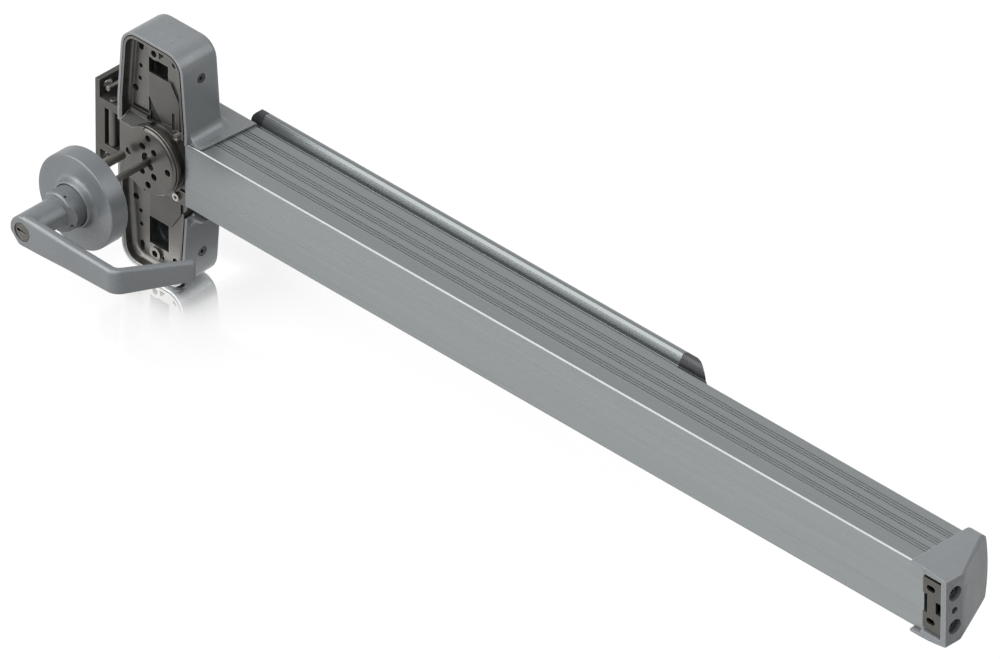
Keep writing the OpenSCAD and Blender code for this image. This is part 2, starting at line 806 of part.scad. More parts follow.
// Plate in the rail that carries the mechanism
module base_plate() {
    hole_start = pad_x + 50;
    hole_step = (pad_len - 70) / 4;
    hole_z = 17;
    color(steel)
    difference() {
        along_y(rail_floor, base_top)
            polygon(round_rect(pad_x + 35, -24, pad_end + 3, 24, 3, 3));
        for (x = crank_xs) along_y(0, base_top + cut) translate([x, 0]) square(crank_window, center = true);
        for (k = [0:4], z = [-hole_z, hole_z]) bar_y(3, 0, base_top + cut, hole_start + k * hole_step, z);
    }
}

// Bell cranks

// Fixed bracket with two ears for the crank's pivot pin
module crank_bracket(x) {
    color(steel)
    difference() {
        union() {
            difference() {
                along_y(base_top, base_top + 2) translate([x, 0]) square([34, 32], center = true);
                along_y(base_top - cut, base_top + 3) translate([x, 0]) square(crank_window, center = true);
            }
            both_z() along_z(crank_t / 2 + 4, crank_t / 2 + 6)
                polygon(rounded([[x - 12, base_top], [x + 12, base_top], [x + 12, base_top + 6],
                    [x + 7, crank_y + 6.5], [x - 7, crank_y + 6.5], [x - 12, base_top + 6]],
                    [0, 0, 3, 4, 4, 3], 4));
        }
        bar_z(crank_pin_r + slip, -20, 20, x, crank_y);
        for (side = [-1, 1]) both_z() bar_y(1.7, base_top - cut, base_top + 3, x + side * 13, 12);
    }
}
module crank_bracket_left() { crank_bracket(crank_left_x); }
module crank_bracket_right() { crank_bracket(crank_right_x); }

module crank_pins() {
    half = crank_t / 2 + 6.8;
    color(bright_steel) for (x = crank_xs) bar_z(crank_pin_r, -half, half, x, crank_y);
}

// One arm of the crank, pointing along -Y, with an open slot for its drive pin
module crank_arm(reach) {
    width = 2 * drive_pin_r + 5;
    length = reach / cos(crank_swing / 2) + drive_pin_r + 0.6;
    difference() {
        translate([-width / 2, -length]) square([width, length]);
        translate([-drive_pin_r - slot_play, -length - cut])
            square([2 * (drive_pin_r + slot_play), length - reach + drive_pin_r + cut + 0.6]);
    }
}

// Bell crank at rest: one arm under the pad, the other in the rod
module bell_crank(x) {
    color(bright_steel)
    translate([x, crank_y, 0]) rotate([0, 0, -crank_swing / 2])
    difference() {
        along_z(-crank_t / 2, crank_t / 2) {
            circle(r = crank_hub_r);
            crank_arm(rod_arm);
            rotate(-90) crank_arm(pad_arm);
            polygon([[0, 0], [-10, -4.5], [-4.5, -10]]);
        }
        bar_z(crank_pin_r + slip, -crank_t, crank_t, 0, 0);
    }
}
module bell_crank_left() { bell_crank(crank_left_x); }
module bell_crank_right() { bell_crank(crank_right_x); }

// Drive rod with a window and a pin at each crank
module actuator_rod() {
    color(steel)
    difference() {
        union() {
            block([rod_start, rod_y - rod_half, -7.5], [rod_end, rod_y + rod_half, 7.5]);
            bar_x(rod_half, rod_end - cut, spring_seat + rod_travel + 8, rod_y, 0);
        }
        for (x = crank_xs)
            block([x - rod_travel / 2 - 15, 0, -crank_t / 2 - 0.6], [x - rod_travel / 2 + 15, 30, crank_t / 2 + 0.6]);
        for (x = crank_xs) bar_z(drive_pin_r + slip, -10, 10, x - rod_travel / 2, rod_y);
    }
}

module rod_pins() {
    color(bright_steel) for (x = crank_xs) bar_z(drive_pin_r, -7.5, 7.5, x - rod_travel / 2, rod_y);
}

module rod_spring() {
    color(bright_steel)
    translate([rod_end + 0.3, rod_y, 0]) rotate([0, 90, 0]) coil(rod_half + 1.6, 1.2, 9, spring_len - 0.6);
}

module spring_bracket() {
    color(steel)
    difference() {
        union() {
            block([spring_seat, base_top, -10], [spring_seat + 3, rod_y + 7, 10]);
            block([spring_seat, base_top, -10], [spring_seat + 14, base_top + 2, 10]);
        }
        bar_x(rod_half + slip, spring_seat - cut, spring_seat + 15, rod_y, 0);
    }
}

// Push pad

// Half outline of the pad above the centre line, from the neck to the front
function pad_half() =
    let (y = rail_front, z = pad_h / 2)
    [[pad_back, neck_h / 2], [y + 10.7, neck_h / 2], [y + 11.4, z - 5.9], [y + 13.1, z - 2.75],
        [y + 13.7, z - 3.2], [y + 14, z - 2.8], [y + 13.4, z - 2.35], [y + 15.4, z - 0.2],
        [y + 17.5, z], [pad_front, z - 2.4]];
pad_radii = [0, 0.5, 3, 0.2, 0, 0, 0.2, 1.2, 2, 2.5];

// Mirror image of a list of points below the centre line
function below(points) = [for (i = [len(points) - 1:-1:0]) [points[i][0], -points[i][1]]];

module pad_outline() {
    last = len(pad_radii) - 1;
    polygon(rounded(concat(below(pad_half()), pad_half()),
        concat([for (i = [last:-1:0]) pad_radii[i]], pad_radii), 3));
}

module pad_section() {
    inner = neck_h / 2 - pad_wall;
    difference() {
        pad_outline();
        translate([pad_back - cut, -inner]) square([pad_front - pad_wall - pad_back + cut, 2 * inner]);
    }
}

module push_pad() {
    color(bar_grey) along_x(pad_x, pad_end) pad_section();
}

// Spigot that plugs an end cap into the pad
module cap_spigot(x0, x1) {
    half = neck_h / 2 - pad_wall - 0.2;
    along_x(x0, x1) translate([rail_front + 2, -half]) square([pad_front - pad_wall - 0.2 - rail_front - 2, 2 * half]);
}

// Solid end of the pad above the given depth
module cap_solid(x0, x1, back) {
    intersection() {
        along_x(x0, x1) pad_outline();
        block([x0, back, -pad_h], [x1, pad_front + cut, pad_h]);
    }
}

module pad_cap_left() {
    x0 = pad_x - left_cap_len;
    color(black_plastic) {
        intersection() {
            cap_solid(x0, pad_x, rail_front - 4);
            along_y(0, pad_front + cut) polygon(round_rect(x0, -pad_h / 2, pad_x + 20, pad_h / 2, 6));
            along_z(-pad_h, pad_h) polygon(rounded([[x0, 0], [pad_x + 20, 0], [pad_x + 20, pad_front], [x0, pad_front]],
                [0, 0, 0, 4.5]));
        }
        cap_spigot(pad_x - cut, pad_x + 14);
    }
}

module pad_cap_right() {
    x1 = pad_end + right_cap_len;
    color(black_plastic) {
        intersection() {
            cap_solid(pad_end, x1, rail_front - 4);
            along_z(-pad_h, pad_h) polygon(rounded([[pad_end - 1, 0], [x1, 0], [x1, rail_front + 3.4],
                [pad_end + 8, pad_front], [pad_end - 1, pad_front]], [0, 0, 1, 3, 0]));
        }
        cap_spigot(pad_end - 14, pad_end + cut);
    }
}

// Bracket under the pad that carries one drive pin
module pad_bracket(x) {
    pin = [x - pad_arm, crank_y + pad_travel / 2];
    top = pad_front - pad_wall;
    color(steel)
    difference() {
        union() {
            both_z() along_z(crank_t / 2 + 1, crank_t / 2 + 3)
                polygon(rounded([[pin[0] - 6, pin[1] - 5], [pin[0] + 5, pin[1] - 5], [pin[0] + 5, pin[1] + 6],
                    [pin[0] + 14, top], [pin[0] - 14, top]], [4, 4, 3, 0, 0], 4));
            block([pin[0] - 20, top - 2, -14], [pin[0] + 20, top, 14]);
        }
        bar_z(drive_pin_r + slip, -12, 12, pin[0], pin[1]);
    }
}
module pad_bracket_left() { pad_bracket(crank_left_x); }
module pad_bracket_right() { pad_bracket(crank_right_x); }

module pad_pins() {
    half = crank_t / 2 + 3.6;
    color(bright_steel)
    for (x = crank_xs) bar_z(drive_pin_r, -half, half, x - pad_arm, crank_y + pad_travel / 2);
}

// Far end

module end_bracket() {
    x0 = rail_end + 0.5;
    x1 = rail_end + end_cap_len - 5.2;
    flange_x = x1 - 3.1;
    color(dark_steel)
    difference() {
        union() {
            block([x0, 1.5, -22], [x1, rail_gap, 22]);
            block([x0, 1.5, -22], [x0 + 2, rail_floor + 2, 22]);
            block([rail_end - 45, rail_floor, -22], [x0 + 1, rail_floor + 2, 22]);
            block([flange_x - 3, 1.5, -22], [flange_x, 17, 22]);
        }
        for (z = [-14.4, 14.4]) along_y(0, rail_gap + cut) translate([x0 + 8, z]) obround(8.6, 5.4);
        block([flange_x - 3.4, 0, -5.3], [x1 + cut, 18, 5.3]);
        block([x0 - 1, 0, -8.4], [x0 + 4.5, 12, 8.4]);
        for (z = [-14.5, 14.5]) bar_x(2.05, flange_x - 4, flange_x + cut, 9.7, z);
    }
}

// Ring of the end cap at one place along the bar, its room side bowed out by the bulge
function cap_ring(x, depth, half, r, bulge) =
    [for (p = rounded([[0, -half], [depth, -half], [depth, half], [0, half]], [0, r, r, 0], 7))
        [x, p[0] + bulge * max(0, p[0] / depth * 4 - 3) * (1 - pow(p[1] / half, 2)), p[1]]];

module end_cap() {
    x0 = rail_end - end_cap_lap;
    x1 = rail_end + end_cap_len;
    half = rail_h / 2 + 2.5;
    slope_x = rail_end + 2.6;
    color(cast_grey)
    difference() {
        loft(concat([cap_ring(x0, end_cap_d, half, 5, 4.3)],
            [for (i = [0:6])
                let (t = i / 6)
                cap_ring(slope_x + (x1 - slope_x) * t, end_cap_d + (end_face_d - end_cap_d) * t,
                    half - 2.6 * pow(t, 1.5), 5 - 2 * t, 4.3 * (1 - t))]));
        // Socket over the rail's end
        along_x(x0 - cut, rail_end + touch_gap)
            polygon(rounded([[-cut, -rail_h / 2 - 0.2], [rail_front + 0.2, -rail_h / 2 - 0.2],
                [rail_front + 0.2, rail_h / 2 + 0.2], [-cut, rail_h / 2 + 0.2]], [0, rail_corner, rail_corner, 0]));
        // Hollow behind the end face, open towards the door, with a boss round each screw
        difference() {
            along_z(-24.5, 26) polygon([[rail_end, -cut], [x1 - 5, -cut], [x1 - 5, end_face_d - 1],
                [rail_end + 7, end_cap_d - 18], [rail_end, end_cap_d - 12]]);
            for (z = [-14.5, 14.5]) intersection() {
                bar_x(8, x1 - 8.2, x1, 9.7, z);
                block([x1 - 9, rail_gap + touch_gap, -half], [x1, end_face_d, half]);
            }
        }
        for (z = [-14.5, 14.5]) {
            bar_x(6.3, x1 - 6.4, x1 + cut, 9.7, z);
            bar_x(2.4, x1 - 9, x1, 9.7, z);
        }
        bar_x(3, x1 - 4.6, x1 + cut, 9.3, 0);
    }
}

module end_cap_screws() {
    seat = rail_end + end_cap_len - 6.4;
    color(steel)
    for (z = [-14.5, 14.5]) difference() {
        union() {
            bar_x(1.98, seat - 8, seat + 0.4, 9.7, z);
            bar_x(4.4, seat, seat + 2.6, 9.7, z);
        }
        translate([seat + 1, 9.7, z]) rotate([0, 90, 0]) cylinder(r = 2, h = 3, $fn = 6);
    }
}

// Strike

module strike_body() {
    inner = -strike_x + strike_wall;
    color(dark_steel)
    difference() {
        union() {
            block([-strike_x, strike_back, -strike_half_h], [inner, strike_front, strike_half_h]);
            block([-strike_x, strike_front - 3, -strike_half_h], [strike_in, strike_front, strike_half_h]);
            block([-strike_x, strike_back, -strike_mid], [strike_in - 3, strike_front, strike_mid]);
        }
        // Pocket that the latch swings through
        block([inner, strike_back + 9.2, -pocket_h], [0, strike_front + cut, pocket_h]);
        block([inner + 5.2, strike_back - cut, -pocket_h], [0, strike_back + 10, pocket_h]);
        bar_z(drive_pin_r + slip, -strike_mid - cut, strike_mid + cut, roller_x, roller_y);
        both_z() {
            bar_y(2.25, strike_back, strike_front + cut, strike_screw[0], strike_screw[1]);
            along_x(-strike_x - cut, inner + cut) translate([strike_back + 9, 31.6]) obround(9, 4.6);
        }
    }
}

module strike_roller() {
    color(bright_steel)
    difference() {
        bar_z(roller_r, -pocket_h + 0.3, pocket_h - 0.3, roller_x, roller_y);
        bar_z(drive_pin_r + slip, -pocket_h, pocket_h, roller_x, roller_y);
    }
}

module roller_pin() {
    color(bright_steel) {
        bar_z(drive_pin_r, -strike_mid, strike_mid + 0.5, roller_x, roller_y);
        bar_z(drive_pin_r + 1.2, strike_mid, strike_mid + 1.6, roller_x, roller_y);
    }
}

module strike_screws() {
    color(bright_steel)
    both_z() screw_y(2.2, 3.8, 2.4, 10, strike_front + 2.4, strike_screw[0], strike_screw[1]);
}

// Outside trim

module rose() {
    lip_r = shank_r + 2;
    color(cast_grey)
    turned_y() polygon(concat(
        [[rose_r - 2.5, rose_back], [rose_r, rose_back]],
        corner_points([rose_r, rose_back], [rose_r, rose_face], [lip_r, rose_face], 1, 4),
        [[rose_r - 2.2, rose_face], [rose_r - 4.5, rose_face + 0.7], [lip_r + 5, rose_face + 1.3],
            [lip_r + 2.2, rose_face + 0.6], [lip_r + 1.2, rose_face - 0.6], [lip_r, rose_face - 4.2],
            [lip_r - 0.5, rose_face - 4.9], [lip_r - 1.2, rose_face - 4.9], [lip_r - 1.6, rose_face - 4.5],
            [lip_r - 1.6, rose_face + 5], [rose_r - 8, rose_face + 5], [rose_r - 2.5, rose_face + 3.5]]));
}

module rose_liner() {
    liner_r = rose_r - 2.8;
    color(steel)
    difference() {
        turned_y() polygon([[shank_r - 5, rose_back - 2], [liner_r, rose_back - 2], [liner_r, rose_back],
            [shank_r - 5, rose_back]]);
        for (side = [-1, 1]) bar_y(plate_hole_r, rose_back - 3, rose_back + cut, side * post_at, 0);
        for (side = [-1, 1]) bar_y(2.5, rose_back - 3, rose_back + cut, 0, side * 27);
    }
}

module lever_spring() {
    color(bright_steel)
    translate([0, rose_back - 2.3, 0]) rotate([90, 0, 0]) coil(rose_r - 12, 1.4, 2.5, rose_d - 9, 20);
}

// Long post on the latch side, short lug behind the rose on the other
module mounting_posts() {
    color(bright_steel) {
        difference() {
            bar_y(post_r, rose_back, post_end, -post_at, 0);
            bar_y(bolt_r + slip, post_end - 14, post_end + cut, -post_at, 0);
        }
        bar_y(post_r, rose_back, short_post_end, post_at, 0);
    }
}

// The bolts end inside the holes of the plate, one near its face and one deeper
module through_bolts() {
    color(steel) {
        screw_y(bolt_r, 3, 1.5, -plate_proud + 1.5, tray_top + 1.5, -post_at, 0);
        screw_y(bolt_r, 3, 1.5, 3, tray_top + 1.5, post_at, 0);
    }
}

module spindle() {
    color(bright_steel)
    block([-blade_t / 2, rose_face - 4, -blade_w / 2], [blade_t / 2, tray_top - 2, blade_w / 2]);
}

// Ring of the lever arm across its path, at a place in plan
function arm_ring(p, angle, thick, high) =
    [for (q = round_rect(-thick / 2, -high / 2, thick / 2, high / 2, thick * 0.36, 4))
        [p[0] - q[0] * sin(angle), p[1] + q[0] * cos(angle), q[1]]];

module lever_arm() {
    mid_y = lever_front + arm_t / 2;
    bend = [lever_len, mid_y];
    tip = [lever_len + return_x, mid_y + return_y];
    turn = atan2(return_y, return_x);
    bend_r = 9;
    // Centre line: straight run, rounded bend, straight return
    run = bend_r * tan(turn / 2);
    bend_h = 21;
    loft(concat(
        [arm_ring([0, mid_y], 0, arm_t, arm_h), arm_ring([18, mid_y], 0, arm_t, arm_h - 1),
            arm_ring([lever_len / 2, mid_y], 0, arm_t, (arm_h + bend_h) / 2 - 1)],
        [for (i = [0:5]) let (a = turn * i / 5)
            arm_ring([bend[0] - run + bend_r * sin(a), mid_y + bend_r * (1 - cos(a))], a, arm_t, bend_h)],
        [arm_ring(tip - 6 * [cos(turn), sin(turn)], turn, arm_t, tip_h),
            arm_ring(tip - 1.5 * [cos(turn), sin(turn)], turn, arm_t - 0.6, tip_h - 0.8),
            arm_ring(tip, turn, arm_t - 3, tip_h - 3)]));
}

// Cylinder along the set screw's hole, from a to b along its axis
module set_screw_bar(r, a, b) {
    translate(set_screw_at) rotate([90, 0, 45]) translate([0, 0, a]) cylinder(r = r, h = b - a);
}

module lever() {
    gap = 0.4;
    facet_at = 10.5;
    chamfer = 5.1;
    bore_end = lever_front + 26;
    color(cast_grey)
    difference() {
        union() {
            difference() {
                turned_y() polygon(concat([[0, lever_front], [boss_r - 0.8, lever_front], [boss_r, lever_front + 0.8],
                    [boss_r, step_y]],
                    corner_points([boss_r, step_y], [shank_r, step_y], [shank_r, rose_face], 1.6, 4),
                    [[shank_r, rose_face - 4.9], [shank_r, rose_face - 2], [0, rose_face - 2]]));
                // Facets under the boss
                along_y(lever_front - cut, step_y)
                    for (a = [-45, 45]) rotate(a) translate([-boss_r, -2 * boss_r]) square([2 * boss_r, 2 * boss_r - facet_at]);
                // Chamfers on both sides of the shank
                for (side = [-1, 1]) along_z(-shank_r, shank_r)
                    polygon([[side * (shank_r - chamfer), step_y - cut], [side * (shank_r + cut), step_y - cut],
                        [side * (shank_r + cut), step_y + chamfer + cut], [side * (shank_r - chamfer), step_y]]);
            }
            turned_y() polygon([[0, rose_face - 3], [shank_r - 0.3, rose_face - 3],
                [shank_r - 0.3, rose_back - 2.4 - gap], [0, rose_back - 2.4 - gap]]);
            lever_arm();
        }
        bar_y(cylinder_r + slip, lever_front - cut, bore_end, 0, 0);
        block([-blade_t / 2 - slip, rose_face - 4.2, -blade_w / 2 - slip],
            [blade_t / 2 + slip, rose_back, blade_w / 2 + slip]);
        set_screw_bar(1.6, -6, 4);
        rotate([0, 20, 0]) bar_z(1.3, 12, 20, 0, step_y + 3.2);
    }
}

module lever_set_screw() {
    color(steel)
    difference() {
        set_screw_bar(1.55, -6, -0.9);
        translate(set_screw_at) rotate([90, 0, 45]) translate([0, 0, -2.2]) cylinder(r = 0.9, h = 3, $fn = 6);
    }
}

module key_cylinder() {
    face = lever_front + 0.8;
    color(brass)
    difference() {
        bar_y(cylinder_r, face, lever_front + 25.8, 0, 0);
        bar_y(plug_r + slip, lever_front - cut, lever_front + 24, 0, 0);
    }
}

module key_plug() {
    left = -plug_r + 0.7;
    color(brass)
    difference() {
        bar_y(plug_r, lever_front + 0.7, lever_front + 23.8, 0, 0);
        along_y(lever_front - cut, lever_front + 18)
            polygon([[left, -1.1], [-3.8, -1.2], [-2.6, -0.5], [-0.6, -0.4], [0.4, -0.9], [3, -0.6], [3, 0.2],
                [0.8, 0.1], [-0.4, 0.6], [-2.4, 0.6], [-3.6, 1.3], [left, 1.2]]);
    }
}

head_cover();
cover_screws();
bottom_plug();
chassis_tray();
trim_plate();
trim_cam();
upper_backing_plate();
lower_backing_plate();
latch_case();
latch_pin();
latch_bolt();
latch_draw_pin();
latch_spring();
latch_retractor();
rail_bracket();
bracket_screws();
rail_housing();
rail_filler();
base_plate();
crank_bracket_left();
crank_bracket_right();
crank_pins();
bell_crank_left();
bell_crank_right();
actuator_rod();
rod_pins();
rod_spring();
spring_bracket();
push_pad();
pad_cap_left();
pad_cap_right();
pad_bracket_left();
pad_bracket_right();
pad_pins();
end_bracket();
end_cap();
end_cap_screws();
strike_body();
strike_roller();
roller_pin();
strike_screws();
rose();
rose_liner();
lever_spring();
mounting_posts();
through_bolts();
spindle();
lever();
lever_set_screw();
key_cylinder();
key_plug();
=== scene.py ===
import json
import math

import bmesh
import bpy
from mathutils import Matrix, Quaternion, Vector


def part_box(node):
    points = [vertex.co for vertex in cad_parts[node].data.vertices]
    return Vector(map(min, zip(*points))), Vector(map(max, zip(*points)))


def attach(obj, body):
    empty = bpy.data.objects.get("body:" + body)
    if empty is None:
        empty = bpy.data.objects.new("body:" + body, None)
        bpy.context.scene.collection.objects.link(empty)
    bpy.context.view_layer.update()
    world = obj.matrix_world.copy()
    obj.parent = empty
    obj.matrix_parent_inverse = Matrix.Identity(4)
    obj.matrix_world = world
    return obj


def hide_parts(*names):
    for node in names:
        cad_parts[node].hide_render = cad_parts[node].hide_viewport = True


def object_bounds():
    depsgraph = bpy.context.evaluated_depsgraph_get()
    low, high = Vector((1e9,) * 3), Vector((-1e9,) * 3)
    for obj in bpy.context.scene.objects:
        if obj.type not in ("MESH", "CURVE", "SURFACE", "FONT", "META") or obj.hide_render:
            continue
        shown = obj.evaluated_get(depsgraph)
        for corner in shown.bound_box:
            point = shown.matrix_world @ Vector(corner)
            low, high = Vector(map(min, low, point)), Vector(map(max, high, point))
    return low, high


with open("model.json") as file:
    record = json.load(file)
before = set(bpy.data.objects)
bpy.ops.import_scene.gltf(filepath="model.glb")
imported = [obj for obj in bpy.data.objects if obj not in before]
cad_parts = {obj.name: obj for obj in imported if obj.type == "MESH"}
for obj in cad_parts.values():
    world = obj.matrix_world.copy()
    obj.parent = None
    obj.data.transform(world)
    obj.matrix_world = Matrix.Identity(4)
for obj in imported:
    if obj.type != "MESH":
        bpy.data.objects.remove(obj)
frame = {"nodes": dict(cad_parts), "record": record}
cad_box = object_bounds()
NODES = frame["nodes"]
SLOTS = {part["node"]: part["material_slot"] for part in frame["record"]["subparts"]}
MM = 0.001
WHITE = (1, 1, 1, 1)

# Camera: a long lens along the photograph's viewing direction
CAMERA_AZIMUTH = math.radians(44.92)
CAMERA_ELEVATION = math.radians(34.82)
CAMERA_ROLL = math.radians(0.18)
CAMERA_AIM = Vector((0.3609, 0.0004, 0.0264))
CAMERA_DISTANCE = 21.175
CAMERA_LENS = 1050
CAMERA_SENSOR = 36
CAMERA_NEAR, CAMERA_FAR = 1.0, 100.0

# Surround: falls off from left to right
SURROUND_LEFT = 0.82
SURROUND_RIGHT = 0.46

# Softbox in the surround, up on the door's side: the edges between tops and door sides mirror it
SOFTBOX_SIDE = Vector((0, -0.7, 0.7))
# How well a direction agrees with it where the softbox begins and where it is full
SOFTBOX_EDGE, SOFTBOX_CORE = 0.50, 0.74
# Its middle along X, half its width there and the fade at its ends
SOFTBOX_MIDDLE = -0.22
SOFTBOX_HALF, SOFTBOX_FADE = 0.60, 0.10
SOFTBOX_POWER = 4.2
# Where along X the softbox dims towards the right, and the share of it that is left there
SOFTBOX_DIMMING = (-0.45, -0.10)
SOFTBOX_RIGHT = 0.5

# Fill lamp behind the rail
FILL_PLACE = Vector((1.8, 1.4, 1.4))
FILL_AIM = Vector((0.35, 0, 0))
FILL_SIZE = 1.6
FILL_POWER = 14

# Floor: its size, its gap under the head, and its own surface
FLOOR_HALF = 6.0
FLOOR_GAP = 0.5 * MM
FLOOR_TONE = (0.10, 0.10, 0.10, 1)
FLOOR_ROUGH = 0.06
FLOOR_SPECULAR = 0.3
# What the camera sees of the floor's glow, and the painted soft shadow that dims it round the head's foot
FLOOR_GLOW = 0.87
PAINTED_SHADOW_DEPTH = 0.16
PAINTED_SHADOW_REACH = 0.150
PAINTED_SHADOW_FALL = 3.0
# Corners of the head's foot on the floor
FOOT_LOW = Vector((-0.020, 0.002, 0))
FOOT_HIGH = Vector((0.033, 0.050, 0))
# Round the foot the floor mirrors more than it glows
MIRROR_REACH = 0.045
MIRROR_FALL = 2.5
MIRROR_SHARE = 1.3
MIRROR_ROUGH = 0.05
MIRRORED_LEVEL = 0.70
# What gloss sees of the floor's glow: bright before the door side, dim behind it and beyond the right end,
# as painted shade in what the parts mirror
GLOSS_BRIGHT, GLOSS_PAINTED_DIM = 0.94, 0.52
DIM_BEHIND = (-0.10, 0.02)
DIM_RIGHT = (0.80, 0.90)

# Colours of the finishes, 0 to 255
CAST_GREY = (120, 123, 125)
# Darker copy of the cast paint for the outside trim: painted shade
TRIM_SHADED_GREY = (109, 112, 114)
CAP_GREY = (117, 120, 122)
BAR_GREY = (126, 130, 131)
# Paler colour inside the rail's grooves: painted light that lifts their shade
GROOVE_PAINTED_LIGHT_GREY = (132, 136, 137)
# Darker copy of the bar's colour for the push pad: painted shade that tones down its highlight
PAD_SHADED_GREY = (112, 116, 117)
STEEL_GREY = (92, 91, 88)
TRAY_GREY = (95, 94, 91)
PLATE_GREY = (84, 83, 81)
STRIKE_GREY = (81, 80, 77)
SOCKET_GREY = (78, 79, 80)
BRIGHT_GREY = (118, 117, 113)
POST_GREY = (138, 136, 131)
# Darker steel for the latch block's slanted face: painted shade, with a strong painted edge highlight
BLOCK_SHADED_GREY = (50, 50, 48)
# Near-black for the sheet and the wall in the tray's window: painted shade
PAINTED_SHADE_GREY = (16, 16, 16)
SCREW_GREY = (165, 163, 158)
PLASTIC_BLACK = (40, 42, 44)
NICKEL_GREY = (92, 91, 86)

# Textures: cells per metre, alike along all axes or one number for each
CAST_CLOUDS = 14
CAST_PATCHES = 60
CAST_PEEL = 160
CAST_SPOTS = 420
STEEL_CLOUDS = 45
STEEL_SCRATCHES = (90, 1800, 1500)
STEEL_GRAIN = 700
MOULD_PATCHES = 80
MOULD_GRAIN = 1100
# Brushed lines: cells per metre across and along
FINE_LINES = (2200, 8)
COARSE_LINES = (360, 0.9)
LINE_ROUGHNESS = 0.6

# Depth of each texture's relief
SPOT_RELIEF = 0.01 * MM
PEEL_RELIEF = 0.02 * MM
LINE_RELIEF = 0.002 * MM
STEEL_RELIEF = 0.012 * MM
MOULD_RELIEF = 0.04 * MM

# Stretches of a noise: its middle, where most values lie, and the peaks that spots and lines take
MIDDLE = (0.3, 0.7)
SPOT_PEAKS = (0.55, 0.80)
STREAK_PEAKS = (0.55, 0.80)
SCRATCH_PEAKS = (0.64, 0.76)
GRAIN_PEAKS = (0.4, 0.7)

# Tones as shares of a finish's colour, and how far roughness strays from its value
SOFT_TONES = (0.97, 1.03)
STEEL_TONES = (0.93, 1.05)
SPOT_TONE = 1.05
STREAK_TONE = 1.04
SCRATCH_TONE = 1.12
GRAIN_TONE = 1.25
# Paler edges on castings and steel: painted edge highlight together with rubbed wear; on mouldings just
# paler edges
CAST_EDGE_SHEEN_AND_WEAR = 1.32
MOULD_PALE_EDGES = 1.7
CAST_STRAY = (-0.05, 0.06)
BAR_STRAY = (-0.02, 0.03)
STEEL_STRAY = (-0.03, 0.05)
MOULD_ROUGHNESS = (0.42, 0.56)
CAST_SPECULAR = 0.3
MOULD_SPECULAR = 0.45

# Paler edges: how far they reach on castings and on the rest, and how the rounded normal agrees
# with the true one where they begin and where they are full. On castings and steel they are a painted edge
# highlight together with rubbed wear
CAST_PALE_EDGE_REACH = 0.9 * MM
PALE_EDGE_REACH = 0.8 * MM
EDGE_SAMPLES = 8
EDGE_AGREEMENT = (0.99, 0.8)

# Rounding of real edges, and the clean-up before it
EDGE_ROUND = 0.25 * MM
EDGE_ANGLE = math.radians(28)
EDGE_SEGMENTS = 2
WELD_GAP = 0.002 * MM
FLAT_ANGLE = math.radians(0.6)
NORMAL_WEIGHT = 80

# A face counts as facing a direction above this agreement, and as lying in a plane below this gap
FACING = 0.999
PLANE_GAP = 0.01 * MM

# Trim plate: radii and depths of its flat face, rounded rim, neck, flange and undercut
RIM_FLAT = 25.0 * MM
RIM_ROUND = 27.9 * MM
RIM_DEPTH = 1.8 * MM
RIM_STEPS = 8
NECK_R = RIM_ROUND - 0.7 * MM
NECK_STEP = 0.1 * MM
NECK_ROOT = 0.2 * MM
FLANGE_R = 28.79 * MM
FLANGE_FROM = 2.6 * MM
FLANGE_TO = 5.6 * MM
FLANGE_CHAMFER = 0.4 * MM
UNDERCUT_R = 26.5 * MM
TRIM_EDGE = 0.15 * MM
# The tool that cuts them: how far it reaches out, ahead and past faces, and round the plate in degrees
CUT_R = 30 * MM
CUT_AHEAD = 1 * MM
CUT_PAST = 0.05 * MM
CUT_REACH = 100
CUT_STEPS = 72
# The latch block's upper slanted face, which takes a darker steel: painted shade
BLOCK_SLANT = Vector((0, -0.5, 0.866))

# Upper window of the tray below the backing plate: its corners in mm, across and up, and its reach in depth
WINDOW_CORNERS = [(-9.9, 49.5), (-9.9, 24), (4.5, 24), (6.9, 27)]
WINDOW_LEFT = WINDOW_CORNERS[0][0] * MM
WINDOW_FRONT, WINDOW_BACK = 4 * MM, 14 * MM
# Painted shade: a dark sheet in the window, just behind the backing plate
SHADE_CORNERS = [(-13, 52), (-13, 27), (8.8, 27), (8.8, 52)]
SHADE_BEHIND = 1.2 * MM
SHADE_THICKNESS = 0.4 * MM

# End cap: how far its room side bows out, and where along the cap's depth that begins and is full
BOW = 3.0 * MM
BOW_FROM = 17.5 * MM
BOW_TO = 62 * MM
BOW_STEPS = 14
# The walls of the cap's socket stay: only what lies past the rail's end or behind its back bows
BOW_BEFORE_END = 0.1 * MM
BOW_BEHIND_RAIL = 0.3 * MM

# Grooves of the rail, which take painted light: how deep their faces lie, and how far in from the rail's
# front and back
GROOVE_DEPTHS = (0.05 * MM, 0.95 * MM)
GROOVE_INSET = 5 * MM


def tone(colour, share=1.0):
    """A share of a colour of 0 to 255, as the linear values that the shaders take."""
    def one(c):
        c = min(c * share, 255) / 255
        return ((c + 0.055) / 1.055) ** 2.4 if c > 0.04 else c / 12.92
    return tuple(one(c) for c in colour) + (1.0,)


def around(value, stray):
    """The range that strays from a value."""
    return value + stray[0], value + stray[1]


